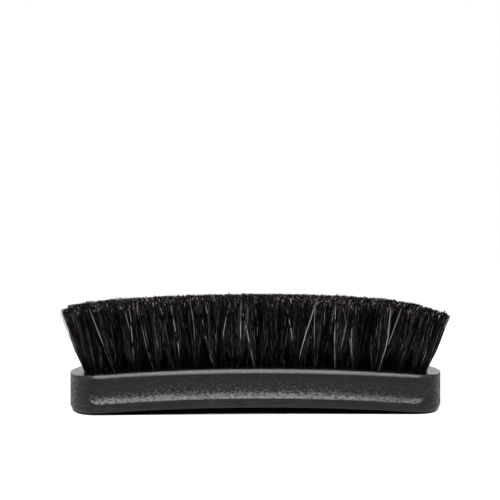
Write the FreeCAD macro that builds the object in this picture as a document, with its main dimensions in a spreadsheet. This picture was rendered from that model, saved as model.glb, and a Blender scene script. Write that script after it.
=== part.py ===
import FreeCAD, Part
import math
import os
import Sketcher

# A shoe shine brush lying on its back, bristles up. Millimetres and degrees.
# X runs along the block, Y across it, and Z up from the surface that the two feet of the back rest on.

SIZES = {
    # Wooden block, seen from above and from the side
    "block_length": 170,
    "block_width": 52,
    "block_thickness": 17.6,
    "corner_radius": 12,
    "nose_radius": 42,
    "arch_rise": 2.8,
    "foot_length": 9,
    "foot_blend_radius": 120,
    "back_round": 2.8,
    # Finger groove along each long side, with the rounded lip above it
    "lip_height": 2.2,
    "lip_inset": 1.7,
    "lip_round": 2.6,
    "groove_height": 10.8,
    "groove_depth": 2,
    "shelf_rise": 4.6,
    "cutter_radius": 12,
    "cutter_travel": 138,
    # Pattern of tuft holes in the bristle face
    "row_count": 5,
    "long_row_tufts": 18,
    "end_margin": 9.35,
    "side_margin": 8,
    "end_fan": 14,
    "side_splay": 11,
    "hole_diameter": 4.8,
    "hole_depth": 11,
    # Tuft of folded hair, and the flat wire anchor that pins its fold in the hole
    "hair_length": 29,
    "tuft_clearance": 0.1,
    "tuft_collar": 1.2,
    "tuft_gap": 0.4,
    "swell_share": 0.45,
    "anchor_thickness": 0.4,
    "anchor_height": 1.8,
    "anchor_bite": 0.7,
    "anchor_lift": 1,
    # How far each cut runs past the face it opens
    "overrun": 2,
}

# Values worked out from the sizes: the arch and its feet, the cutter's stops, and the tufts' spacing
WORKED = {
    "foot_edge": "=sizes.block_length / 2 - sizes.foot_length",
    "arch_radius": "=(foot_edge ^ 2 + sizes.arch_rise ^ 2) / (2 * sizes.arch_rise) - sizes.foot_blend_radius",
    "arch_drop": "=arch_radius - sizes.arch_rise",
    "crown_radius": "=arch_radius + sizes.block_thickness",
    "crown_height": "=sizes.arch_rise + sizes.block_thickness",
    "cutter_stop": "=sizes.cutter_travel / 2 / crown_radius * 180 / pi",
    "end_reach": "=sizes.block_length / 2 - sizes.end_margin",
    "outer_row": "=sizes.block_width / 2 - sizes.side_margin",
    "tuft_pitch": "=2 * end_reach / (sizes.long_row_tufts - 1)",
    "row_pitch": "=2 * outer_row / (sizes.row_count - 1)",
    "stagger": "=sqrt((tuft_pitch / 2) ^ 2 + row_pitch ^ 2)",
    "tuft_spread": "=sizes.end_fan * pi / 180 / end_reach",
    "swell_height": "=sizes.swell_share * sizes.hair_length",
    "root_radius": "=sizes.hole_diameter / 2 - sizes.tuft_clearance",
    "swell_radius": "=(min(tuft_pitch; stagger) * (1 + swell_height * tuft_spread) - sizes.tuft_gap) / 2",
    "tip_radius": "=(min(tuft_pitch; stagger) * (1 + sizes.hair_length * tuft_spread) - sizes.tuft_gap) / 2",
}

# Sketch numbers for the origin, the ends of a line or arc, and the two axes
START, END, CENTRE = range(1, 4)
X_AXIS, Y_AXIS = range(-1, -3, -1)
ORIGIN = X_AXIS

# A face whose normal's upright part is under this share stands as a wall, and over it lies as a floor
STEEP_SHARE = 0.5

doc = FreeCAD.newDocument("shoe_shine_brush")


def make_sheet(name, cells):
    sheet = doc.addObject("Spreadsheet::Sheet", name)
    for row, (alias, value) in enumerate(cells.items(), 1):
        sheet.set(f"A{row}", alias)
        sheet.set(f"B{row}", str(value))
        sheet.setAlias(f"B{row}", alias)
    doc.recompute()
    return sheet


sizes = make_sheet("sizes", SIZES)
worked = make_sheet("worked", WORKED)


def size(alias):
    return float(sizes.get(alias))


def work(alias):
    return float(worked.get(alias))


def point(x, y):
    return FreeCAD.Vector(x, y, 0)


def line(start, end):
    return Part.LineSegment(start, end)


def arc(centre, radius, first, last):
    """Arc drawn anticlockwise between two angles in degrees."""
    circle = Part.Circle(centre, FreeCAD.Vector(0, 0, 1), radius)
    return Part.ArcOfCircle(circle, math.radians(first), math.radians(last))


def make_sketch(body, name, plane):
    sketch = body.newObject("Sketcher::SketchObject", name)
    support = next(f for f in body.Origin.OriginFeatures if f.Role == plane)
    sketch.AttachmentSupport = [(support, "")]
    sketch.MapMode = "FlatFace"
    return sketch


def constrain(sketch, kind, *arguments):
    sketch.addConstraint(Sketcher.Constraint(kind, *arguments))


def dimension(sketch, name, expression, kind, *arguments):
    """Add a driving dimension of the sketch and bind it to the sheets."""
    index = sketch.addConstraint(Sketcher.Constraint(kind, *arguments))
    sketch.renameConstraint(index, name)
    sketch.setExpression(f"Constraints.{name}", expression)


def tangent_chain(sketch, joints):
    for first, first_end, second, second_end in joints:
        constrain(sketch, "Tangent", first, first_end, second, second_end)


def join_chain(sketch, joints):
    for first, first_end, second, second_end in joints:
        constrain(sketch, "Coincident", first, first_end, second, second_end)


def elevation_sketch(body):
    """Side view of the block: two flat feet, the arch between them and the crowned bristle face."""
    sketch = make_sketch(body, "elevation", "XZ_Plane")
    reach = size("block_length") / 2 + size("overrun")
    foot, blend = work("foot_edge"), size("foot_blend_radius")
    arch, crown = work("arch_radius"), work("crown_radius")
    centre = point(0, -work("arch_drop"))
    swing = math.degrees(math.asin(foot / (arch + blend)))
    crown_swing = math.degrees(math.asin(reach / crown))
    shoulder = centre.y + math.sqrt(crown ** 2 - reach ** 2)
    foot_right, wall_right, top, wall_left, foot_left, blend_left, under, blend_right = range(8)
    sketch.addGeometry([
        line(point(foot, 0), point(reach, 0)),
        line(point(reach, 0), point(reach, shoulder)),
        arc(centre, crown, 90 - crown_swing, 90 + crown_swing),
        line(point(-reach, shoulder), point(-reach, 0)),
        line(point(-reach, 0), point(-foot, 0)),
        arc(point(-foot, blend), blend, 270, 270 + swing),
        arc(centre, arch, 90 - swing, 90 + swing),
        arc(point(foot, blend), blend, 270 - swing, 270),
    ])
    join_chain(sketch, [
        (foot_right, END, wall_right, START),
        (wall_right, END, top, START),
        (top, END, wall_left, START),
        (wall_left, END, foot_left, START),
        (top, CENTRE, under, CENTRE),
    ])
    tangent_chain(sketch, [
        (foot_left, END, blend_left, START),
        (blend_left, END, under, END),
        (under, START, blend_right, START),
        (blend_right, END, foot_right, START),
    ])
    for wall in (wall_right, wall_left):
        constrain(sketch, "Vertical", wall)
    for foot_line in (foot_right, foot_left):
        constrain(sketch, "Horizontal", foot_line)
        constrain(sketch, "PointOnObject", foot_line, START, X_AXIS)
    constrain(sketch, "PointOnObject", under, CENTRE, Y_AXIS)
    constrain(sketch, "Equal", blend_left, blend_right)
    reach_rule = "sizes.block_length / 2 + sizes.overrun"
    dimension(sketch, "arch_radius", "worked.arch_radius", "Radius", under, arch)
    dimension(sketch, "crown_radius", "worked.crown_radius", "Radius", top, crown)
    dimension(sketch, "blend_radius", "sizes.foot_blend_radius", "Radius", blend_right, blend)
    dimension(sketch, "arch_drop", "worked.arch_drop", "DistanceY", under, CENTRE, ORIGIN, START, -centre.y)
    dimension(sketch, "reach_right", reach_rule, "DistanceX", ORIGIN, START, foot_right, END, reach)
    dimension(sketch, "reach_left", reach_rule, "DistanceX", foot_left, START, ORIGIN, START, reach)
    return sketch


def plan_sketch(body):
    """View from above: straight sides and bowed ends, inside the rectangle of wood that is trimmed away."""
    sketch = make_sketch(body, "plan", "XY_Plane")
    corner, nose = size("corner_radius"), size("nose_radius")
    half_width = size("block_width") / 2
    nose_x = size("block_length") / 2 - nose
    corner_y = half_width - corner
    corner_run = math.sqrt((nose - corner) ** 2 - corner_y ** 2)
    corner_x = nose_x + corner_run
    turn = math.degrees(math.atan2(corner_y, corner_run))
    far_x = size("block_length") / 2 + 2 * size("overrun")
    far_y = half_width + 2 * size("overrun")
    side_low, low_right, nose_right, high_right, side_high, high_left, nose_left, low_left = range(8)
    sketch.addGeometry([
        line(point(-corner_x, -half_width), point(corner_x, -half_width)),
        arc(point(corner_x, -corner_y), corner, 270, 360 - turn),
        arc(point(nose_x, 0), nose, -turn, turn),
        arc(point(corner_x, corner_y), corner, turn, 90),
        line(point(corner_x, half_width), point(-corner_x, half_width)),
        arc(point(-corner_x, corner_y), corner, 90, 180 - turn),
        arc(point(-nose_x, 0), nose, 180 - turn, 180 + turn),
        arc(point(-corner_x, -corner_y), corner, 180 + turn, 270),
    ])
    outline = range(8)
    tangent_chain(sketch, [(i, END, (i + 1) % len(outline), START) for i in outline])
    for side in (side_low, side_high):
        constrain(sketch, "Horizontal", side)
    for corner_arc in (low_right, high_left, low_left):
        constrain(sketch, "Equal", high_right, corner_arc)
    constrain(sketch, "Equal", nose_right, nose_left)
    for nose_arc in (nose_right, nose_left):
        constrain(sketch, "PointOnObject", nose_arc, CENTRE, X_AXIS)
    nose_rule = "sizes.block_length / 2 - sizes.nose_radius"
    dimension(sketch, "corner_radius", "sizes.corner_radius", "Radius", high_right, corner)
    dimension(sketch, "nose_radius", "sizes.nose_radius", "Radius", nose_right, nose)
    dimension(sketch, "nose_right_x", nose_rule, "DistanceX", ORIGIN, START, nose_right, CENTRE, nose_x)
    dimension(sketch, "nose_left_x", nose_rule, "DistanceX", nose_left, CENTRE, ORIGIN, START, nose_x)
    width_rule = "sizes.block_width / 2"
    dimension(sketch, "side_low_y", width_rule, "DistanceY", side_low, START, ORIGIN, START, half_width)
    dimension(sketch, "side_high_y", width_rule, "DistanceY", ORIGIN, START, side_high, START, half_width)

    corners = [point(-far_x, -far_y), point(far_x, -far_y), point(far_x, far_y), point(-far_x, far_y)]
    frame = [sketch.addGeometry(line(corners[i - 1], corners[i])) for i in range(len(corners))]
    left, low, right, high = frame
    join_chain(sketch, [(frame[i - 1], END, frame[i], START) for i in range(len(frame))])
    for edge in (left, right):
        constrain(sketch, "Vertical", edge)
    for edge in (low, high):
        constrain(sketch, "Horizontal", edge)
    far_x_rule = "sizes.block_length / 2 + 2 * sizes.overrun"
    far_y_rule = "sizes.block_width / 2 + 2 * sizes.overrun"
    dimension(sketch, "trim_right", far_x_rule, "DistanceX", ORIGIN, START, right, START, far_x)
    dimension(sketch, "trim_left", far_x_rule, "DistanceX", left, START, ORIGIN, START, far_x)
    dimension(sketch, "trim_high", far_y_rule, "DistanceY", ORIGIN, START, high, START, far_y)
    dimension(sketch, "trim_low", far_y_rule, "DistanceY", low, START, ORIGIN, START, far_y)
    return sketch


def lip_crest(foot, head, radius):
    """Middle point of the outward arc of that radius from the lip's foot to its head."""
    chord = head - foot
    outward = point(chord.y, -chord.x).normalize()
    half_chord = chord.Length / 2
    return (foot + head) * 0.5 + outward * (radius - math.sqrt(radius ** 2 - half_chord ** 2))


def groove_sketch(body, name, tilt):
    """Profile of the groove cutter at one stop: rounded lip, square shoulder, wall and coved shelf."""
    sketch = make_sketch(body, name, "YZ_Plane")
    drop = work("arch_drop")
    inset, depth, shelf_rise = size("lip_inset"), size("groove_depth"), size("shelf_rise")
    side, top = size("block_width") / 2, work("crown_height")
    ceiling = top - size("lip_height")
    shelf = ceiling - size("groove_height")
    cove_radius = (shelf_rise ** 2 + depth ** 2) / (2 * depth)
    cove_end = 180 + math.degrees(math.atan2(shelf_rise, cove_radius - depth))
    cove_centre = point(side - depth + cove_radius, shelf + shelf_rise)
    axis_y = side - depth + size("cutter_radius")
    above = top + size("overrun")
    lip_foot, lip_head = point(side, ceiling), point(side - inset, top)
    lip_bulge = lip_crest(lip_foot, lip_head, size("lip_round"))
    rise, lip_arc, shoulder, wall, shelf_arc, under, spindle, over = range(8)
    sketch.addGeometry([
        line(point(side - inset, above), lip_head),
        Part.Arc(lip_foot, lip_bulge, lip_head),
        line(lip_foot, point(side - depth, ceiling)),
        line(point(side - depth, ceiling), point(side - depth, shelf + shelf_rise)),
        arc(cove_centre, cove_radius, 180, cove_end),
        line(point(side, shelf), point(axis_y, shelf)),
        line(point(axis_y, shelf), point(axis_y, above)),
        line(point(axis_y, above), point(side - inset, above)),
    ])
    join_chain(sketch, [
        (rise, END, lip_arc, END),
        (lip_arc, START, shoulder, START),
        (shoulder, END, wall, START),
        (shelf_arc, END, under, START),
        (under, END, spindle, START),
        (spindle, END, over, START),
        (over, END, rise, START),
    ])
    tangent_chain(sketch, [(wall, END, shelf_arc, START)])
    for upright in (rise, wall, spindle):
        constrain(sketch, "Vertical", upright)
    for level in (shoulder, under, over):
        constrain(sketch, "Horizontal", level)
    constrain(sketch, "Vertical", lip_arc, START, shelf_arc, END)
    side_rule = "sizes.block_width / 2"
    ceiling_rule = "worked.crown_height - sizes.lip_height"
    dimension(sketch, "lip_round", "sizes.lip_round", "Radius", lip_arc, size("lip_round"))
    dimension(sketch, "lip_inset", "sizes.lip_inset", "DistanceX", rise, END, shoulder, START, inset)
    dimension(sketch, "lip_height", "sizes.lip_height", "DistanceY", shoulder, START, rise, END,
              size("lip_height"))
    dimension(sketch, "groove_depth", "sizes.groove_depth", "DistanceX", wall, END, under, START, depth)
    dimension(sketch, "shelf_rise", "sizes.shelf_rise", "DistanceY", under, START, wall, END, shelf_rise)
    dimension(sketch, "side_y", side_rule, "DistanceX", ORIGIN, START, shoulder, START, side)
    dimension(sketch, "ceiling_z", ceiling_rule, "DistanceY", ORIGIN, START, shoulder, START, ceiling)
    dimension(sketch, "groove_height", "sizes.groove_height", "DistanceY", under, START, shoulder, START,
              size("groove_height"))
    dimension(sketch, "cutter_radius", "sizes.cutter_radius", "DistanceX", wall, END, under, END,
              size("cutter_radius"))
    dimension(sketch, "overrun", "sizes.overrun", "DistanceY", rise, END, rise, START, size("overrun"))

    arch_axis = sketch.addGeometry(line(point(0, -drop), point(side, -drop)), True)
    constrain(sketch, "Horizontal", arch_axis)
    constrain(sketch, "PointOnObject", arch_axis, START, Y_AXIS)
    dimension(sketch, "arch_drop", "worked.arch_drop", "DistanceY", arch_axis, START, ORIGIN, START, drop)
    dimension(sketch, "axis_run", side_rule, "DistanceX", arch_axis, START, arch_axis, END, side)
    cutter_axis = sketch.addGeometry(line(point(axis_y, shelf), point(axis_y, above)), True)
    join_chain(sketch, [(cutter_axis, START, spindle, START), (cutter_axis, END, spindle, END)])

    # The stop's plane swings about the axis of the arch
    swing = f"{tilt} * worked.cutter_stop"
    sketch.setExpression("AttachmentOffset.Rotation.Axis.x", "1")
    sketch.setExpression("AttachmentOffset.Rotation.Axis.z", "0")
    sketch.setExpression("AttachmentOffset.Rotation.Angle", swing)
    sketch.setExpression("AttachmentOffset.Base.y", f"-worked.arch_drop * (1 - cos({swing}))")
    sketch.setExpression("AttachmentOffset.Base.z", f"worked.arch_drop * sin({swing})")
    return sketch


def back_rim(shape):
    """Names of the edges where the underside, facing down, meets an upright side wall."""
    names = []
    for index, edge in enumerate(shape.Edges, 1):
        faces = shape.ancestorsOfType(edge, Part.Face)
        normals = [face.normalAt(*face.Surface.parameter(edge.CenterOfMass)) for face in faces]
        lean_shares = sorted(normal.z for normal in normals)
        if lean_shares[0] < -STEEP_SHARE and abs(lean_shares[-1]) < STEEP_SHARE:
            names.append(f"Edge{index}")
    return names


def make_block():
    """The shaped block before its tuft holes are drilled."""
    body = doc.addObject("PartDesign::Body", "block_blank")
    pad = body.newObject("PartDesign::Pad", "plank")
    pad.Profile = elevation_sketch(body)
    pad.SideType = "Symmetric"
    pad.setExpression("Length", "sizes.block_width + 2 * sizes.overrun")
    doc.recompute()

    trim = body.newObject("PartDesign::Pocket", "trim")
    trim.Profile = plan_sketch(body)
    trim.SideType = "Symmetric"
    trim.Type = "ThroughAll"
    doc.recompute()

    fillet = body.newObject("PartDesign::Fillet", "back_edge")
    fillet.Base = (trim, back_rim(trim.Shape))
    fillet.setExpression("Radius", "sizes.back_round")
    doc.recompute()

    cuts = []
    for name, tilt, axis, swing in (
        ("groove_run", 0, "Axis0", "2 * worked.cutter_stop"),
        ("groove_stop_right", 1, "Axis1", "90"),
        ("groove_stop_left", -1, "Axis1", "90"),
    ):
        sketch = groove_sketch(body, f"{name}_profile", tilt)
        doc.recompute()
        cut = body.newObject("PartDesign::Groove", name)
        cut.Profile = sketch
        cut.ReferenceAxis = (sketch, [axis])
        cut.Midplane = tilt == 0
        cut.Reversed = tilt < 0
        cut.setExpression("Angle", swing)
        doc.recompute()
        cuts.append(cut)

    other_side = body.newObject("PartDesign::Mirrored", "groove_other_side")
    other_side.Originals = cuts
    plane = next(f for f in body.Origin.OriginFeatures if f.Role == "XZ_Plane")
    other_side.MirrorPlane = (plane, [""])
    body.Tip = other_side
    doc.recompute()
    return body


def tuft_places():
    """Column number, row number and placement of every tuft, on the bristle face and along its lean."""
    end, outer, pitch = work("end_reach"), work("outer_row"), work("tuft_pitch")
    rows, long_row = int(size("row_count")), int(size("long_row_tufts"))
    crown, drop = work("crown_radius"), work("arch_drop")
    places = []
    for row in range(rows):
        y = -outer + row * work("row_pitch")
        first = (row + 1) % 2
        for column in range(first, 2 * long_row - 1, 2):
            x = -end + column * pitch / 2
            foot = FreeCAD.Vector(x, y, math.sqrt(crown ** 2 - x ** 2) - drop)
            fan = math.radians(size("end_fan")) * x / end
            splay = math.radians(size("side_splay")) * y / outer
            lean = FreeCAD.Vector(math.tan(fan), math.tan(splay), 1)
            turn = FreeCAD.Rotation(FreeCAD.Vector(0, 0, 1), lean)
            places.append((column, row, FreeCAD.Placement(foot, turn)))
    return places


def make_tuft():
    """One tuft, upright, with the origin where its axis meets the bristle face."""
    body = doc.addObject("PartDesign::Body", "tuft")
    sketch = make_sketch(body, "tuft_profile", "XZ_Plane")
    depth, collar = size("hole_depth"), size("tuft_collar")
    root, swell, tip = work("root_radius"), work("swell_radius"), work("tip_radius")
    middle, top = work("swell_height"), size("hair_length")
    base, side, lower, upper, cap, axis = range(6)
    corners = [point(0, -depth), point(root, -depth), point(root, collar), point(swell, middle),
               point(tip, top), point(0, top)]
    sketch.addGeometry([line(corners[i], corners[(i + 1) % len(corners)]) for i in range(len(corners))])
    join_chain(sketch, [(i, END, (i + 1) % len(corners), START) for i in range(len(corners))])
    for level in (base, cap):
        constrain(sketch, "Horizontal", level)
    for upright in (side, axis):
        constrain(sketch, "Vertical", upright)
    constrain(sketch, "PointOnObject", base, START, Y_AXIS)
    dimension(sketch, "hole_depth", "sizes.hole_depth", "DistanceY", base, START, ORIGIN, START, depth)
    dimension(sketch, "root_radius", "worked.root_radius", "DistanceX", base, START, base, END, root)
    dimension(sketch, "collar", "sizes.tuft_collar", "DistanceY", ORIGIN, START, side, END, collar)
    dimension(sketch, "swell_radius", "worked.swell_radius", "DistanceX", ORIGIN, START, lower, END, swell)
    dimension(sketch, "swell_height", "worked.swell_height", "DistanceY", ORIGIN, START, lower, END, middle)
    dimension(sketch, "tip_radius", "worked.tip_radius", "DistanceX", ORIGIN, START, upper, END, tip)
    dimension(sketch, "hair_length", "sizes.hair_length", "DistanceY", ORIGIN, START, upper, END, top)
    bundle = body.newObject("PartDesign::Revolution", "bundle")
    bundle.Profile = sketch
    bundle.ReferenceAxis = (sketch, ["V_Axis"])
    bundle.Angle = 360
    doc.recompute()

    slit = body.newObject("PartDesign::SubtractiveBox", "anchor_slit")
    slit.setExpression("Length", "sizes.hole_diameter")
    slit.setExpression("Width", "sizes.anchor_thickness")
    slit.setExpression("Height", "sizes.anchor_height")
    slit.setExpression("Placement.Base.x", "-sizes.hole_diameter / 2")
    slit.setExpression("Placement.Base.y", "-sizes.anchor_thickness / 2")
    slit.setExpression("Placement.Base.z", "sizes.anchor_lift - sizes.hole_depth")
    doc.recompute()
    return body


def shift(place, step):
    """The placement moved by a step in its own directions."""
    return place.multiply(FreeCAD.Placement(step, FreeCAD.Rotation()))


def make_hole(name, place):
    """The drill's path for one tuft hole."""
    drill = doc.addObject("Part::Cylinder", name)
    drill.setExpression("Radius", "sizes.hole_diameter / 2")
    drill.setExpression("Height", "sizes.hole_depth + sizes.tuft_collar + sizes.overrun")
    drill.Placement = shift(place, FreeCAD.Vector(0, 0, -size("hole_depth")))
    return drill


def make_anchor(name, place):
    """The flat wire across one hole, biting into the wood at both ends."""
    wire = doc.addObject("Part::Box", name)
    wire.setExpression("Length", "sizes.hole_diameter + 2 * sizes.anchor_bite")
    wire.setExpression("Width", "sizes.anchor_thickness")
    wire.setExpression("Height", "sizes.anchor_height")
    corner = FreeCAD.Vector(
        -size("hole_diameter") / 2 - size("anchor_bite"),
        -size("anchor_thickness") / 2,
        size("anchor_lift") - size("hole_depth"),
    )
    wire.Placement = shift(place, corner)
    return wire


def make_group(label, members):
    group = doc.addObject("Part::Compound", label)
    group.Links = members
    group.Label = label
    return group


def make_filling(block):
    """Drill the block, and fill each hole with its tuft and its anchor."""
    pattern = make_tuft()
    holes, columns, rows = [], {}, {}
    for column, row, place in tuft_places():
        name = f"{column + 1:02d}_{row + 1}"
        holes.append(make_hole(f"hole_{name}", place))
        rows.setdefault(row, []).append(make_anchor(f"anchor_{name}", place))
        tuft = doc.addObject("App::Link", f"tuft_{name}")
        tuft.LinkedObject = pattern
        tuft.Placement = place
        columns.setdefault(column, []).append(tuft)
    doc.recompute()

    anchors = [make_group(f"anchor_row_{row + 1}", rows[row]) for row in sorted(rows)]
    tufts = [make_group(f"tuft_column_{column + 1:02d}", columns[column]) for column in sorted(columns)]
    drilled = doc.addObject("Part::Cut", "drilled_block")
    drilled.Base = block
    drilled.Tool = make_group("holes", holes)
    handle = doc.addObject("Part::Cut", "handle_block")
    handle.Base = drilled
    handle.Tool = make_group("anchor_bites", anchors)
    doc.recompute()
    return [handle] + tufts + anchors


def check_and_export(nodes):
    failed = [item.Name for item in doc.Objects if "Invalid" in item.State or "Error" in item.State]
    failed += [node.Label for node in nodes if node.Shape.isNull() or not node.Shape.isValid()]
    if failed:
        raise RuntimeError("failed: " + ", ".join(failed))
    os.makedirs("parts", exist_ok=True)
    for node in nodes:
        node.Shape.exportStep(f"parts/{node.Label}.step")
        print(node.Label, len(node.Shape.Solids), round(node.Shape.Volume, 2))


check_and_export(make_filling(make_block()))
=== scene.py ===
"""Looks of the shoe shine brush: lacquered block, steel anchors and one mesh of hair for each tuft column."""
import math

import bpy
import numpy as np
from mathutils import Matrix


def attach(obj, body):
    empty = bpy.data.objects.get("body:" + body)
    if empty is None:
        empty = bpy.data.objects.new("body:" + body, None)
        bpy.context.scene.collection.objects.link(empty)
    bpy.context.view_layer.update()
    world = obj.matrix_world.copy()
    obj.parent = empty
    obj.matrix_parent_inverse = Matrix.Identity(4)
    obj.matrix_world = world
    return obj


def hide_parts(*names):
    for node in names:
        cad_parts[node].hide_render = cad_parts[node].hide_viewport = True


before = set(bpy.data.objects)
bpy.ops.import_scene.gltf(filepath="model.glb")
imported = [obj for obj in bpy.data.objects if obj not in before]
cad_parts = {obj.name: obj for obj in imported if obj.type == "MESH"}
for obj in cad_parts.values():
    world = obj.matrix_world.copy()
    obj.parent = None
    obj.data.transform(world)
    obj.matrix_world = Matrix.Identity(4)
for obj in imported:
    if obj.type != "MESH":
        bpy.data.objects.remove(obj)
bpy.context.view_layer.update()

# Camera: metres and radians, lens and sensor in millimetres, for a square image
CAMERA_PLACE = (-0.01236, -0.450, 0.07532)
CAMERA_YAW = 0.0216
CAMERA_PITCH = -0.0074
CAMERA_NEAR = 0.01
CAMERA_LENS = 70.04
SENSOR_WIDTH = 36.0

# Floor: size and reach of its painted contact shade in metres, then its brightness outside and inside that
# shade
FLOOR_SIZE = 12.0
SHADE_REACH = 0.008
SHADE_OPENNESS = (0.27, 0.37)
FLOOR_GLOW = 0.97
FLOOR_PALE = 0.35
FLOOR_PAINTED_SHADE = 0.02

# Sky: its strength as seen and as light, and what is left of it in reflections that head to the right
WHITE = (1.0, 1.0, 1.0, 1.0)
SKY_SHOWN = 1.0
SKY_LIGHT = 0.15
RIGHT_SKY_SHARE = 0.45
RIGHT_HEADING = (0.2, 0.8)

# Lamps: name, place, width and depth in metres, power in watts, and whether glossy faces mirror it
LAMPS = (
    ("top_lamp", (-0.03, -0.15, 0.88), (0.80, 0.24), 5.4, True),
    ("front_lamp", (-0.10, -0.75, 0.85), (0.90, 0.30), 5.2, True),
    ("back_lamp", (0.05, 0.60, 0.70), (0.90, 0.30), 0.8, True),
    ("fill_lamp", (-0.05, -0.85, 0.22), (0.60, 0.30), 1.7, False),
)
LAMP_AIM = (0.0, 0.0, 0.02)

# Noises: size of a cell along X, Y and Z in metres, or in the map's units for the hair, then the detail
GRAIN_NOISE = ((0.030, 0.0011, 0.0011), 4.0)
PORE_NOISE = ((0.0035, 0.00035, 0.00035), 2.0)
RIPPLE_NOISE = ((0.0022, 0.0015, 0.0015), 3.0)
FLECK_NOISE = ((0.0013, 0.0009, 0.0009), 2.0)
SPECK_NOISE = ((0.0010, 0.0008, 0.0008), 1.0)
STREAK_NOISE = ((0.003, 0.006, 0.0009), 2.0)
FIBRE_NOISE = ((0.0060, 0.0012, 0.0007), 3.0)
WIRE_NOISE = ((0.004, 0.00012, 0.00012), 3.0)
GLEAM_NOISE = ((1.0 / 260.0, 1.0 / 8.0, 1.0), 2.0)

# Fall of the block's arch from its middle, in metres for each square metre of distance along X
ARCH_BEND = 0.39

# Zones of the block: heights with the arch taken out and distances along X, in metres, then parts of a normal
WALL_FOOT = (0.0070, 0.0080)
WALL_TOP = (0.0110, 0.0165)
WALL_END = (0.045, 0.076)
BRINK_TOP = (0.0082, 0.0094)
LIP_FOOT = (0.0178, 0.0186)
# Where dust and the painted highlight lie, and how that highlight fades towards the right end as painted
# shade
HIGHLIGHT_FADE_X = (0.020, 0.075)
DUST_AND_HIGHLIGHT_FACING = (0.02, 0.55)
LEVEL_FACING = (0.62, 0.86)
LIP_FACING = (0.0, 0.30)
END_FACING = (0.20, 0.80)

# Marks on the lacquer, dust and specks with painted highlights and glints: where on its noise each one starts
# and ends, then its strength as shares of full dust and highlight
DUST_AND_HIGHLIGHT_RANGE = (0.45, 0.56)
GLINT_RANGE = (0.55, 0.63)
BRINK_RANGE = (0.40, 0.52)
SPECK_RANGE = (0.58, 0.66)
LIP_HIGHLIGHT_RANGE = (0.36, 0.64)
SAWN_RANGE = (0.56, 0.66)
VEIN_RANGE = (0.50, 0.70)
DUST_AND_HIGHLIGHT_SHARE = 0.78
RIGHT_HIGHLIGHT_SHARE = 0.50
BRINK_SHARE = 0.60
BRINK_SHARES = (0.3, 1.5)
SPECK_SHARE = 0.60
# Painted highlight on the lip: its strength by how far it faces up, then over its noise
LIP_SHARES = (0.30, 1.0)
LIP_HIGHLIGHT_SHARES = (0.72, 1.0)
SAWN_SHARE = 0.25
VEIN_SHARE = 0.12

# Lacquer: colours, the last one for dust and painted highlights, wear of the edges, roughness, and the
# strength and depth in metres of each bump
WOOD_STOPS = ((0.25, (0.0022, 0.0022, 0.0026)), (0.75, (0.0062, 0.0061, 0.0065)))
RUBBED_COLOUR = (0.030, 0.028, 0.027, 1.0)
# Colour of the marks: dust, specks, sawn streaks and veins, and the painted highlights on the shelf and lip
DUST_AND_HIGHLIGHT_COLOUR = (0.172, 0.172, 0.176, 1.0)
EDGE_RADIUS = 0.0006
EDGE_SAMPLES = 6
EDGE_TURN = (0.985, 0.90)
RUBBED_RANGE = (0.42, 0.62)
PORE_RANGE = (0.56, 0.72)
GRAIN_RANGE = (0.3, 0.7)
STREAK_RANGE = (0.38, 0.62)
LACQUER_ROUGHNESS = (0.18, 0.27)
RUBBED_ROUGHNESS = 0.12
SAWN_ROUGHNESS = (0.42, 0.24)
LACQUER_IOR = 1.325
GRAIN_BUMP = (0.20, 0.00018)
PORE_BUMP = (0.30, 0.00008)
RIPPLE_BUMP = (0.60, 0.00040)
STREAK_BUMP = (0.5, 0.00040)

# Steel of the anchors, with the strength and depth in metres of its bump
STEEL_STOPS = ((0.3, (0.42, 0.42, 0.43)), (0.7, (0.58, 0.58, 0.58)))
WIRE_RANGE = (0.3, 0.7)
STEEL_ROUGHNESS = (0.28, 0.42)
STEEL_BUMP = (0.15, 0.00003)

# Hair: seed, counts for each tuft, sizes in metres, and how a tuft's axis and points are found
HAIR_SEED = 12
STRANDS = 520
LOCKS = 70
SIDES = 3
HOLE_DEPTH = 0.011
ROOT_SPREAD = 0.0021
END_REACH = 0.0757
END_BAND = 0.0002
AXIS_ROUNDS = 4
POINT_DIGITS = 7
THICKNESS = 0.00031
THICK_SHARES = (0.75, 1.25)
PALE_GIRTH_SHARE = 1.15

# Rings of a hair: shares of its free length, then spread and girth there, with the fold in the hole first
HEIGHT_SHARES = (0.0, 0.16, 0.34, 0.56, 0.79, 1.0)
SPREAD_SHARES = (0.9, 1.0, 1.52, 2.08, 2.32, 2.42, 2.48)
TAPER_SHARES = (1.0, 1.0, 1.0, 1.0, 0.96, 0.88, 0.66)

# Spread of the tufts: those beyond the inner limit, a share of END_REACH, are the end ones
TUFT_SHARES = (0.92, 1.10)
ROW_SPREAD_SHARE = 1.16
INNER_SPREAD_SHARE = 1.20
INNER_LIMIT_SHARE = 0.93
GATHER_SHARE = 0.14

# Bends of the hair at its tip, in metres, and how they grow along the hair and towards the brush's ends
BEND = 0.0011
STRAY_BEND = 0.0033
PALE_BEND = 0.0026
LOCK_BEND = 0.0005
TUFT_BEND = 0.0008
WAVE = 0.00035
WAVE_TURN = 7.0
LEFT_CURL = 0.0036
RIGHT_CURL = 0.0027
STRAY_SHARE = 0.09
BEND_LIMIT_SHARE = 2.2
END_CALM_SHARE = 0.7
BEND_POWER = 1.4
CALM_POWER = 6
CURL_POWER = 3

# Cut of the hair, in metres, and how it drops towards the brush's ends
TRIM = 0.0004
LOCK_TRIM = 0.0003
LENGTHENED = 0.0004
SHORT_CUT = 0.0050
SHORT_SHARE = 0.06
LEFT_DROP = 0.0003
RIGHT_DROP = 0.0029
DROP_POWER = 7

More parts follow.
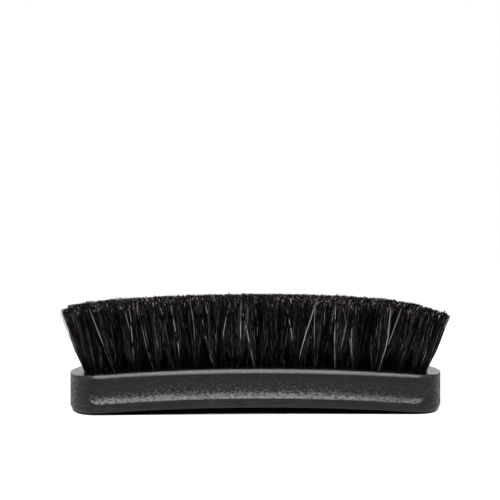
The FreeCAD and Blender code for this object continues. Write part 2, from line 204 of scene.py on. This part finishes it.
# Shades of the hair, dark to pale, how often each is drawn, and how far a hair strays from its lock's shade
SHADE_COLOURS = (
    (0.0028, 0.0024, 0.0025),
    (0.0120, 0.0104, 0.0105),
    (0.0350, 0.0306, 0.0308),
    (0.0850, 0.0755, 0.0760),
    (0.1900, 0.1750, 0.1760),
    (0.3600, 0.3420, 0.3440),
    (0.6200, 0.6050, 0.6080),
    (0.9800, 0.9750, 0.9800),
)
SHADE_SHARES = (0.25, 0.19, 0.21, 0.20, 0.095, 0.025, 0.014, 0.019)
SHADE_DRIFT = 0.42

# Hair along its length: painted shade from fold to tip, a broken painted gleam, unbroken pale hairs, painted
# highlights on cut ends, and gloss
PAINTED_SHADE_STOPS = (
    (0.26, (0.30, 0.30, 0.30)),
    (0.56, (0.92, 0.91, 0.91)),
    (0.66, (0.90, 0.88, 0.86)),
    (0.84, (0.68, 0.65, 0.63)),
    (0.95, (0.16, 0.145, 0.14)),
)
GLEAM_STOPS = (
    (0.41, (0.12, 0.12, 0.12)),
    (0.49, (0.60, 0.60, 0.60)),
    (0.56, (1.0, 1.0, 1.0)),
)
PALE_GLEAM = 0.92
PALE_STEP = 0.01
CUT_RANGE = (0.90, 0.95)
# Painted highlights on a few cut ends: where on the noise, how strong, and their colour
TIP_HIGHLIGHT_RANGE = (0.655, 0.695)
TIP_HIGHLIGHT_SHARE = 0.95
TIP_HIGHLIGHT_COLOUR = (0.74, 0.67, 0.64, 1.0)
DRY_RANGE = (0.6, 1.0)
HAIR_ROUGHNESS = (0.34, 0.60)
HAIR_IOR = 1.45
HAIR_SPECULAR = 0.02

# Map of the hair: a column for each shade, in it a slice for each strand, and up the map the strand's rings
UV_MAP = "OFBake"
COLUMN_MARGIN_SHARE = 0.1
SLICE_SHARE = 0.04
RING_SHARES = (0.03, 0.96)
CAP_SHARES = (0.1, 0.9, 0.5)
TIP_SHARES = (0.97, 0.97, 0.995)
FOLD_SHARES = (0.02, 0.02, 0.005)

# Sockets of a colour mix node, which share their names with those of its other types
MIX_FIRST = 6
MIX_SECOND = 7
MIX_RESULT = 2


def add(tree, kind, settings=None, inputs=None):
    """A new node; an input that is a socket is linked, any other value is set."""
    made = tree.nodes.new(kind)
    for name, value in (settings or {}).items():
        setattr(made, name, value)
    for name, value in (inputs or {}).items():
        if isinstance(value, bpy.types.NodeSocket):
            tree.links.new(value, made.inputs[name])
        else:
            made.inputs[name].default_value = value
    return made


def ramp(tree, factor, stops, interpolation="LINEAR"):
    """A colour ramp over factor, from (place, colour) stops."""
    made = add(tree, "ShaderNodeValToRGB", inputs={"Fac": factor})
    steps = made.color_ramp
    steps.interpolation = interpolation
    while len(steps.elements) < len(stops):
        steps.elements.new(1.0)
    for step, (place, colour) in zip(steps.elements, stops):
        step.position = place
        step.color = (*colour, 1.0)
    return made.outputs["Color"]


def span(tree, value, low, high, to_low, to_high):
    """value from low..high mapped to to_low..to_high and held at the ends."""
    given = {"Value": value, "From Min": low, "From Max": high, "To Min": to_low, "To Max": to_high}
    return add(tree, "ShaderNodeMapRange", inputs=given).outputs["Result"]


def calculate(tree, operation, first, second=0.0):
    """One arithmetic node."""
    return add(tree, "ShaderNodeMath", {"operation": operation}, {0: first, 1: second}).outputs["Value"]


def product(tree, *factors):
    """All factors multiplied."""
    result = factors[0]
    for factor in factors[1:]:
        result = calculate(tree, "MULTIPLY", result, factor)
    return result


def split_vector(tree, vector):
    """The X, Y and Z outputs of a vector."""
    return add(tree, "ShaderNodeSeparateXYZ", inputs={"Vector": vector}).outputs


def mix_colours(tree, factor, first, second, blend="MIX"):
    """The second colour over the first, by factor."""
    settings = {"data_type": "RGBA", "blend_type": blend}
    given = {"Factor": factor, MIX_FIRST: first, MIX_SECOND: second}
    return add(tree, "ShaderNodeMix", settings, given).outputs[MIX_RESULT]


def noise_along(tree, place, cells, detail):
    """Noise whose cells have the given sizes along X, Y and Z."""
    scale = tuple(1.0 / cell for cell in cells)
    scaled = add(tree, "ShaderNodeMapping", inputs={"Vector": place, "Scale": scale})
    given = {"Vector": scaled.outputs["Vector"], "Scale": 1.0, "Detail": detail}
    return add(tree, "ShaderNodeTexNoise", inputs=given).outputs["Fac"]


def bump(tree, height, strength, distance, normal):
    """A bump over an earlier normal."""
    given = {"Height": height, "Strength": strength, "Distance": distance, "Normal": normal}
    return add(tree, "ShaderNodeBump", inputs=given).outputs["Normal"]


def new_material(name):
    """A material with an empty tree and its output."""
    material = bpy.data.materials.new(name)
    material.use_nodes = True
    tree = material.node_tree
    tree.nodes.clear()
    output = add(tree, "ShaderNodeOutputMaterial")
    return material, tree, output


def block_zones(tree, place, normal):
    """Masks, from 0 to 1, for the zones of the block that have marks of their own; on the shelf, its brink
    and the lip those marks are partly painted highlights.
    """
    spot = split_vector(tree, place)
    facing = split_vector(tree, normal)
    arch = product(tree, spot["X"], spot["X"], ARCH_BEND)
    level = calculate(tree, "ADD", spot["Z"], arch)
    far_out = calculate(tree, "ABSOLUTE", spot["X"])
    end_grain = span(tree, calculate(tree, "ABSOLUTE", facing["X"]), *END_FACING, 0.0, 1.0)
    side_grain = calculate(tree, "SUBTRACT", 1.0, end_grain)
    sloping = span(tree, facing["Z"], *LEVEL_FACING, 1.0, 0.0)
    # Painted highlight with real dust: the upward sloping faces of the shelf are lighter
    shelf = product(
        tree,
        span(tree, facing["Z"], *DUST_AND_HIGHLIGHT_FACING, 0.0, 1.0),
        sloping,
        # Painted shade: the shelf's highlight weakens towards the right end
        span(tree, spot["X"], *HIGHLIGHT_FADE_X, 1.0, RIGHT_HIGHLIGHT_SHARE),
    )
    # Painted highlight along the shelf's lower edge
    brink = product(tree, span(tree, level, *BRINK_TOP, BRINK_SHARE, 0.0), shelf)
    wall = product(
        tree,
        span(tree, level, *WALL_TOP, 1.0, 0.0),
        span(tree, level, *WALL_FOOT, 0.0, 1.0),
        span(tree, far_out, *WALL_END, 1.0, 0.0),
        side_grain,
    )
    # Painted highlight on the lip, strongest where it faces up
    lip = product(
        tree,
        span(tree, level, *LIP_FOOT, 0.0, 1.0),
        sloping,
        span(tree, facing["Z"], *LIP_FACING, *LIP_SHARES),
        side_grain,
    )
    return {"shelf": shelf, "brink": brink, "wall": wall, "lip": lip, "end_grain": end_grain}


def lacquer_marks(tree, place, zones, streaks):
    """How far dust with a painted highlight and painted glints on the shelf and its brink, a painted
    highlight on the lip, specks, sawn streaks and veins cover the lacquer.
    """
    flecks = noise_along(tree, place, *FLECK_NOISE)
    specks = noise_along(tree, place, *SPECK_NOISE)
    fibres = noise_along(tree, place, *FIBRE_NOISE)
    marks = (
        # Dust with a painted highlight on the shelf, then painted glints there, then a painted highlight
        # along its brink
        ("shelf", span(tree, flecks, *DUST_AND_HIGHLIGHT_RANGE, 0.0, DUST_AND_HIGHLIGHT_SHARE)),
        ("shelf", span(tree, flecks, *GLINT_RANGE, 0.0, 1.0)),
        ("brink", span(tree, flecks, *BRINK_RANGE, *BRINK_SHARES)),
        ("wall", span(tree, specks, *SPECK_RANGE, 0.0, SPECK_SHARE)),
        # Painted highlight on the lip
        ("lip", span(tree, flecks, *LIP_HIGHLIGHT_RANGE, *LIP_HIGHLIGHT_SHARES)),
        ("end_grain", span(tree, streaks, *SAWN_RANGE, 0.0, SAWN_SHARE)),
    )
    covered = span(tree, fibres, *VEIN_RANGE, 0.0, VEIN_SHARE)
    for zone, mark in marks:
        covered = calculate(tree, "MAXIMUM", covered, product(tree, zones[zone], mark))
    return covered


def lacquer_material():
    """Black satin lacquer on wood: grain and pores along X, ripple, rubbed edges and marks in their zones,
    painted highlights among them.
    """
    material, tree, output = new_material("black_lacquered_wood")
    spots = add(tree, "ShaderNodeTexCoord").outputs
    place = spots["Object"]
    grain = noise_along(tree, place, *GRAIN_NOISE)
    pores = noise_along(tree, place, *PORE_NOISE)
    ripple = noise_along(tree, place, *RIPPLE_NOISE)
    streaks = noise_along(tree, place, *STREAK_NOISE)
    zones = block_zones(tree, place, spots["Normal"])

    bevel = add(tree, "ShaderNodeBevel", {"samples": EDGE_SAMPLES}, {"Radius": EDGE_RADIUS})
    rounded = bevel.outputs["Normal"]
    flat = add(tree, "ShaderNodeNewGeometry").outputs["Normal"]
    turn = add(tree, "ShaderNodeVectorMath", {"operation": "DOT_PRODUCT"}, {0: rounded, 1: flat})
    edge = span(tree, turn.outputs["Value"], *EDGE_TURN, 0.0, 1.0)
    rubbed = product(tree, edge, span(tree, ripple, *RUBBED_RANGE, 0.0, 1.0))
    wood = ramp(tree, grain, WOOD_STOPS)
    worn = mix_colours(tree, rubbed, wood, RUBBED_COLOUR)
    colour = mix_colours(tree, lacquer_marks(tree, place, zones, streaks), worn, DUST_AND_HIGHLIGHT_COLOUR)

    sawn = span(tree, streaks, *STREAK_RANGE, *SAWN_ROUGHNESS)
    gloss = span(tree, grain, *GRAIN_RANGE, *LACQUER_ROUGHNESS)
    gloss = calculate(tree, "ADD", gloss, product(tree, rubbed, RUBBED_ROUGHNESS))
    gloss = calculate(tree, "ADD", gloss, product(tree, zones["end_grain"], sawn))

    normal = bump(tree, grain, *GRAIN_BUMP, rounded)
    normal = bump(tree, span(tree, pores, *PORE_RANGE, 1.0, 0.0), *PORE_BUMP, normal)
    normal = bump(tree, ripple, *RIPPLE_BUMP, normal)
    normal = bump(tree, product(tree, streaks, zones["end_grain"]), *STREAK_BUMP, normal)
    shader = add(tree, "ShaderNodeBsdfPrincipled", inputs={
        "Base Color": colour,
        "Roughness": gloss,
        "IOR": LACQUER_IOR,
        "Normal": normal,
    })
    tree.links.new(shader.outputs["BSDF"], output.inputs["Surface"])
    return material


def steel_material():
    """Drawn steel wire, flattened and brushed along its length."""
    material, tree, output = new_material("drawn_steel")
    place = add(tree, "ShaderNodeTexCoord").outputs["Object"]
    lines = noise_along(tree, place, *WIRE_NOISE)
    flat = add(tree, "ShaderNodeNewGeometry").outputs["Normal"]
    shader = add(tree, "ShaderNodeBsdfPrincipled", inputs={
        "Base Color": ramp(tree, lines, STEEL_STOPS),
        "Metallic": 1.0,
        "Roughness": span(tree, lines, *WIRE_RANGE, *STEEL_ROUGHNESS),
        "Normal": bump(tree, lines, *STEEL_BUMP, flat),
    })
    tree.links.new(shader.outputs["BSDF"], output.inputs["Surface"])
    return material


def hair_material():
    """Horsehair: a shade for each column of the map, a broken painted gleam, painted shade at the roots and
    tips, and painted highlights on a few cut ends.
    """
    material, tree, output = new_material("black_horsehair")
    place = add(tree, "ShaderNodeUVMap", {"uv_map": UV_MAP}).outputs["UV"]
    parts = split_vector(tree, place)
    column = parts["X"]
    along = parts["Y"]
    count = len(SHADE_COLOURS)
    stops = [(index / count, colour) for index, colour in enumerate(SHADE_COLOURS)]
    shades = ramp(tree, column, stops, "CONSTANT")
    # Painted shade: darker at the roots and towards the tips
    painted_shade = ramp(tree, along, PAINTED_SHADE_STOPS)
    # Painted gleam: dashes of painted highlight along each strand, unbroken on the pale hairs
    dashes = noise_along(tree, place, *GLEAM_NOISE)
    pale_from = 1.0 - 1.0 / count
    unbroken = span(tree, column, pale_from, pale_from + PALE_STEP, 0.0, PALE_GLEAM)
    gleam = calculate(tree, "MAXIMUM", ramp(tree, dashes, GLEAM_STOPS), unbroken)
    in_painted_shade = mix_colours(tree, 1.0, shades, painted_shade, "MULTIPLY")
    gleaming = mix_colours(tree, 1.0, in_painted_shade, gleam, "MULTIPLY")
    cut_end = span(tree, along, *CUT_RANGE, 0.0, 1.0)
    # Painted highlights on a few cut ends
    tip_highlight = product(tree, span(tree, dashes, *TIP_HIGHLIGHT_RANGE, 0.0, TIP_HIGHLIGHT_SHARE), cut_end)
    shader = add(tree, "ShaderNodeBsdfPrincipled", inputs={
        "Base Color": mix_colours(tree, tip_highlight, gleaming, TIP_HIGHLIGHT_COLOUR),
        "Roughness": span(tree, along, *DRY_RANGE, *HAIR_ROUGHNESS),
        "IOR": HAIR_IOR,
        "Specular IOR Level": HAIR_SPECULAR,
    })
    tree.links.new(shader.outputs["BSDF"], output.inputs["Surface"])
    return material


def split_tufts(node):
    """The points of each tuft in a column's CAD mesh, told apart by following edges and shared places."""
    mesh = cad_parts[node].data
    points = np.empty(len(mesh.vertices) * 3)
    mesh.vertices.foreach_get("co", points)
    points = points.reshape(-1, 3)
    edges = np.empty(len(mesh.edges) * 2, int)
    mesh.edges.foreach_get("vertices", edges)
    edges = edges.reshape(-1, 2)
    places = np.unique(np.round(points, POINT_DIGITS), axis=0, return_inverse=True)[1].reshape(-1)
    owner = np.arange(len(points))
    settled = False
    while not settled:
        joined = owner.copy()
        least = owner[edges].min(1)
        np.minimum.at(joined, edges[:, 0], least)
        np.minimum.at(joined, edges[:, 1], least)
        lowest = np.full(places.max() + 1, len(points))
        np.minimum.at(lowest, places, joined)
        joined = lowest[places]
        settled = np.array_equal(joined, owner)
        owner = joined
    return [points[owner == label] for label in np.unique(owner)]


def end_centre(points, axis, top):
    """The middle of a tuft's top or bottom disc."""
    height = points @ axis
    if top:
        disc = points[height > height.max() - END_BAND]
    else:
        disc = points[height < height.min() + END_BAND]
    return (disc.min(0) + disc.max(0)) / 2


def tuft_line(points):
    """The bottom and top of a tuft's axis."""
    axis = np.array((0.0, 0.0, 1.0))
    for _ in range(AXIS_ROUNDS):
        low = end_centre(points, axis, False)
        high = end_centre(points, axis, True)
        axis = (high - low) / np.linalg.norm(high - low)
    return low, high


def across(axis):
    """Two unit directions square to axis, the first near X."""
    first = np.array((1.0, 0.0, 0.0))
    first = first - axis * first.dot(axis)
    first /= np.linalg.norm(first)
    return first, np.cross(axis, first)


def disc_points(count, draw):
    """Points spread evenly over a disc of radius 1."""
    angle = draw.uniform(0.0, math.tau, count)
    reach = np.sqrt(draw.uniform(0.0, 1.0, count))
    return np.stack((np.cos(angle), np.sin(angle)), -1) * reach[:, None]


def calmness(end_place):
    """How freely the hair of a tuft bends: 1 in the middle of the brush, less at its ends."""
    return 1.0 - END_CALM_SHARE * abs(end_place) ** CALM_POWER


def tuft_spread(end_place, lifted, draw):
    """The lock that each strand belongs to, and its offsets across the tuft at each ring before it bends."""
    place = disc_points(STRANDS, draw)
    centre = disc_points(LOCKS, draw)
    gap = np.linalg.norm(place[:, None, :] - centre[None, :, :], axis=-1)
    lock = gap.argmin(1)
    gather = GATHER_SHARE * calmness(end_place) * lifted[None, :, None]
    offset = place[:, None, :] * (1.0 - gather) + centre[lock][:, None, :] * gather
    spreads = np.array(SPREAD_SHARES) * ROOT_SPREAD
    offset = offset * spreads[None, :, None] * draw.uniform(*TUFT_SHARES)
    offset[..., 1] *= ROW_SPREAD_SHARE
    if abs(end_place) < INNER_LIMIT_SHARE:
        offset[..., 0] *= 1.0 + (INNER_SPREAD_SHARE - 1.0) * lifted[None, :]
    return lock, offset


def tuft_shades(lock, end_place, draw):
    """The shade of each strand, and which strands are pale hairs."""
    tone = draw.uniform(0.0, 1.0, LOCKS)[lock] + draw.normal(0.0, SHADE_DRIFT, STRANDS)
    limits = np.cumsum(SHADE_SHARES[:-2]) / sum(SHADE_SHARES[:-1])
    shade = np.searchsorted(limits, np.mod(tone, 1.0))
    pale = draw.uniform(0.0, sum(SHADE_SHARES), STRANDS) < SHADE_SHARES[-1]
    pale &= abs(end_place) < INNER_LIMIT_SHARE
    return np.where(pale, len(SHADE_SHARES) - 1, shade), pale


def tuft_bends(lock, pale, end_place, lifted, draw):
    """Offsets across the tuft at each ring from the bend and the wave of each strand."""
    calm = calmness(end_place)
    stray = draw.uniform(0.0, 1.0, STRANDS) < STRAY_SHARE
    reach = np.where(stray, STRAY_BEND, BEND)
    reach = np.where(pale, PALE_BEND, reach)
    lean = np.clip(draw.normal(0.0, 1.0, (STRANDS, 2)), -BEND_LIMIT_SHARE, BEND_LIMIT_SHARE)
    bend = lean * reach[:, None] * calm
    bend += draw.normal(0.0, LOCK_BEND, (LOCKS, 2))[lock] * calm
    bend += draw.normal(0.0, TUFT_BEND, 2)
    curl = RIGHT_CURL if end_place > 0.0 else LEFT_CURL
    bend[:, 0] += curl * end_place ** CURL_POWER
    wave = draw.normal(0.0, WAVE, (STRANDS, 2))
    phase = draw.uniform(0.0, math.tau, STRANDS)
    ripple = np.sin(phase[:, None] + WAVE_TURN * lifted[None, :]) * lifted[None, :]
    return bend[:, None, :] * lifted[None, :, None] ** BEND_POWER + wave[:, None, :] * ripple[..., None]


def tuft_cut(lock, end_place, draw):
    """How far past the CAD tuft's top each strand ends."""
    cut = draw.normal(0.0, TRIM, STRANDS) + draw.normal(0.0, LOCK_TRIM, LOCKS)[lock]
    short = draw.uniform(0.0, 1.0, STRANDS) < SHORT_SHARE
    cut -= short * draw.uniform(0.0, SHORT_CUT, STRANDS)
    drop = RIGHT_DROP if end_place > 0.0 else LEFT_DROP
    return cut + LENGTHENED - drop * abs(end_place) ** DROP_POWER


def tuft_tubes(line, pale, first, second, draw):
    """Points round each strand's line: an array of strands by rings by sides by XYZ."""
    girth = THICKNESS / 2 * draw.uniform(*THICK_SHARES, STRANDS)
    girth = np.where(pale, girth * PALE_GIRTH_SHARE, girth)
    twist = draw.uniform(0.0, math.tau, STRANDS)
    turn = twist[:, None] + math.tau * np.arange(SIDES) / SIDES
    around = np.cos(turn)[..., None] * first + np.sin(turn)[..., None] * second
    radius = girth[:, None] * np.array(TAPER_SHARES)
    return line[:, :, None, :] + radius[:, :, None, None] * around[:, None, :, :]


def tuft_strands(low, high, draw):
    """The points of one tuft's strands, as tuft_tubes gives them, and the shade of each strand."""
    axis = (high - low) / np.linalg.norm(high - low)
    length = np.linalg.norm(high - low) - HOLE_DEPTH
    face = low + axis * HOLE_DEPTH
    first, second = across(axis)
    heights = np.array((-HOLE_DEPTH / length, *HEIGHT_SHARES))
    lifted = np.clip(heights, 0.0, 1.0)
    end_place = face[0] / END_REACH

    lock, offset = tuft_spread(end_place, lifted, draw)
    shade, pale = tuft_shades(lock, end_place, draw)
    offset = offset + tuft_bends(lock, pale, end_place, lifted, draw)
    ends = 1.0 + tuft_cut(lock, end_place, draw) / length
    rise = np.where(heights > 0.0, heights * ends[:, None], heights)
    line = face + rise[..., None] * length * axis
    line = line + offset[..., :1] * first + offset[..., 1:] * second
    return tuft_tubes(line, pale, first, second, draw), shade


def strand_faces(strands, rings, sides):
    """Corners of all faces of the closed tubes, and the first corner of each face."""
    start = np.arange(strands) * rings * sides
    ring = np.arange(rings - 1)[:, None] * sides
    side = np.arange(sides)
    after = (side + 1) % sides
    corners = np.stack((ring + side, ring + after, ring + sides + after, ring + sides + side), -1)
    quads = (start[:, None, None, None] + corners).reshape(-1, 4)
    top = start[:, None] + (rings - 1) * sides + side
    bottom = start[:, None] + side[::-1]
    loops = np.concatenate((quads.ravel(), top.ravel(), bottom.ravel()))
    counts = np.concatenate((np.full(len(quads), 4), np.full(2 * strands, sides)))
    starts = np.concatenate(((0,), np.cumsum(counts)[:-1]))
    return loops, starts


def strand_map(shade, slot, rings, sides):
    """The place on the map of each corner that strand_faces lists."""
    level = np.linspace(*RING_SHARES, rings)
    turn = np.linspace(0.0, 1.0, sides + 1)
    lower = np.broadcast_to(level[:-1, None], (rings - 1, sides))
    upper = np.broadcast_to(level[1:, None], (rings - 1, sides))
    left = np.broadcast_to(turn[:-1], (rings - 1, sides))
    right = np.broadcast_to(turn[1:], (rings - 1, sides))
    side_u = np.stack((left, right, right, left), -1)
    side_v = np.stack((lower, lower, upper, upper), -1)

    def columns(u):
        """u inside each strand's own slice of its shade column, clear of the column's edges."""
        inside = slot[:, None] + np.reshape(u, (1, -1)) * SLICE_SHARE
        inside = COLUMN_MARGIN_SHARE + (1.0 - 2.0 * COLUMN_MARGIN_SHARE) * inside
        return ((shade[:, None] + inside) / len(SHADE_COLOURS)).ravel()

    u = np.concatenate((columns(side_u), columns(CAP_SHARES), columns(CAP_SHARES)))
    v = np.concatenate([np.tile(np.ravel(part), len(shade)) for part in (side_v, TIP_SHARES, FOLD_SHARES)])
    return np.stack((u, v), -1)


def strand_mesh(name, points, shade, slot):
    """A mesh of closed tubes from an array of strands by rings by sides by XYZ, mapped by shade and slot."""
    strands, rings, sides = points.shape[:3]
    loops, starts = strand_faces(strands, rings, sides)
    mesh = bpy.data.meshes.new(name)
    mesh.vertices.add(strands * rings * sides)
    mesh.vertices.foreach_set("co", points.ravel())
    mesh.loops.add(len(loops))
    mesh.loops.foreach_set("vertex_index", loops)
    mesh.polygons.add(len(starts))
    mesh.polygons.foreach_set("loop_start", starts)
    mesh.polygons.foreach_set("use_smooth", np.ones(len(starts), bool))
    mesh.update(calc_edges=True)
    layer = mesh.uv_layers.new(name=UV_MAP)
    layer.data.foreach_set("uv", strand_map(shade, slot, rings, sides).ravel())
    mesh.validate()
    return mesh


def make_hair(node, material, draw):
    """One piece of hair standing for a tuft column."""
    made = [tuft_strands(*tuft_line(points), draw) for points in split_tufts(node)]
    points = np.concatenate([part[0] for part in made])
    shade = np.concatenate([part[1] for part in made])
    slot = draw.uniform(0.0, 1.0 - SLICE_SHARE, len(shade))
    name = node.replace("tuft", "hair")
    piece = bpy.data.objects.new(name, strand_mesh(name, points, shade, slot))
    piece.data.materials.append(material)
    bpy.context.scene.collection.objects.link(piece)
    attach(piece, "root")
    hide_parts(node)


def dress(node, material):
    """A new finish on a CAD node."""
    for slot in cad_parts[node].material_slots:
        slot.material = material


def shown_rays(tree):
    """1 for camera, mirror and glass rays, else 0."""
    path = add(tree, "ShaderNodeLightPath").outputs
    seen = calculate(tree, "MAXIMUM", path["Is Camera Ray"], path["Is Glossy Ray"])
    return calculate(tree, "MAXIMUM", seen, path["Is Transmission Ray"])


def make_floor():
    """A white floor that keeps the brush's shadow, with a painted contact shade: where the block shelters it,
    its glow stops and its colour darkens.
    """
    half = FLOOR_SIZE / 2
    corners = [(-half, -half, 0.0), (half, -half, 0.0), (half, half, 0.0), (-half, half, 0.0)]
    mesh = bpy.data.meshes.new("floor")
    mesh.from_pydata(corners, [], [(0, 1, 2, 3)])
    floor = bpy.data.objects.new("floor", mesh)
    bpy.context.scene.collection.objects.link(floor)
    material, tree, output = new_material("white_floor")
    openness = add(tree, "ShaderNodeAmbientOcclusion", inputs={"Distance": SHADE_REACH}).outputs["AO"]
    strength = product(tree, span(tree, openness, *SHADE_OPENNESS, 0.0, FLOOR_GLOW), shown_rays(tree))
    glow = add(tree, "ShaderNodeEmission", inputs={"Color": WHITE, "Strength": strength})
    # Painted contact shade: the floor's colour darkens where the block shelters it
    colour = span(tree, openness, *SHADE_OPENNESS, FLOOR_PAINTED_SHADE, FLOOR_PALE)
    paint = add(tree, "ShaderNodeBsdfDiffuse", inputs={"Color": colour})
    both = add(tree, "ShaderNodeAddShader", inputs={0: paint.outputs["BSDF"], 1: glow.outputs["Emission"]})
    tree.links.new(both.outputs["Shader"], output.inputs["Surface"])
    mesh.materials.append(material)


def make_sky():
    """White to the eye, darker on the right in reflections, softer as light."""
    world = bpy.data.worlds.new("studio")
    world.use_nodes = True
    tree = world.node_tree
    tree.nodes.clear()
    strength = span(tree, shown_rays(tree), 0.0, 1.0, SKY_LIGHT, SKY_SHOWN)
    heading = split_vector(tree, add(tree, "ShaderNodeTexCoord").outputs["Generated"])
    missing = span(tree, heading["X"], *RIGHT_HEADING, 0.0, 1.0 - RIGHT_SKY_SHARE)
    mirrored = add(tree, "ShaderNodeLightPath").outputs["Is Glossy Ray"]
    kept = calculate(tree, "SUBTRACT", 1.0, product(tree, missing, mirrored))
    given = {"Color": WHITE, "Strength": product(tree, strength, kept)}
    sky = add(tree, "ShaderNodeBackground", inputs=given)
    output = add(tree, "ShaderNodeOutputWorld")
    tree.links.new(sky.outputs["Background"], output.inputs["Surface"])
    bpy.context.scene.world = world


def make_lamps():
    """Soft boxes aimed at the brush."""
    for name, place, (width, depth), power, mirrored in LAMPS:
        data = bpy.data.lights.new(name, "AREA")
        data.shape = "RECTANGLE"
        data.size = width
        data.size_y = depth
        data.energy = power
        lamp = bpy.data.objects.new(name, data)
        lamp.location = place
        lamp.visible_glossy = mirrored
        aim = np.subtract(LAMP_AIM, place)
        flat = math.hypot(aim[0], aim[1])
        lamp.rotation_euler = (math.atan2(flat, -aim[2]), 0.0, math.atan2(-aim[0], aim[1]))
        bpy.context.scene.collection.objects.link(lamp)


def make_camera():
    """The photograph's viewpoint."""
    data = bpy.data.cameras.new("camera")
    data.lens = CAMERA_LENS
    data.sensor_width = SENSOR_WIDTH
    data.clip_start = CAMERA_NEAR
    camera = bpy.data.objects.new("camera", data)
    camera.location = CAMERA_PLACE
    camera.rotation_euler = (math.pi / 2 + CAMERA_PITCH, 0.0, -CAMERA_YAW)
    bpy.context.scene.collection.objects.link(camera)
    bpy.context.scene.camera = camera


def main():
    bpy.context.scene.view_settings.view_transform = "Standard"
    make_camera()
    make_floor()
    make_sky()
    make_lamps()
    lacquer = lacquer_material()
    steel = steel_material()
    horsehair = hair_material()
    draw = np.random.default_rng(HAIR_SEED)
    for node in sorted(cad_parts):
        if node.startswith("tuft"):
            make_hair(node, horsehair, draw)
        elif node.startswith("anchor"):
            dress(node, steel)
        else:
            dress(node, lacquer)


main()
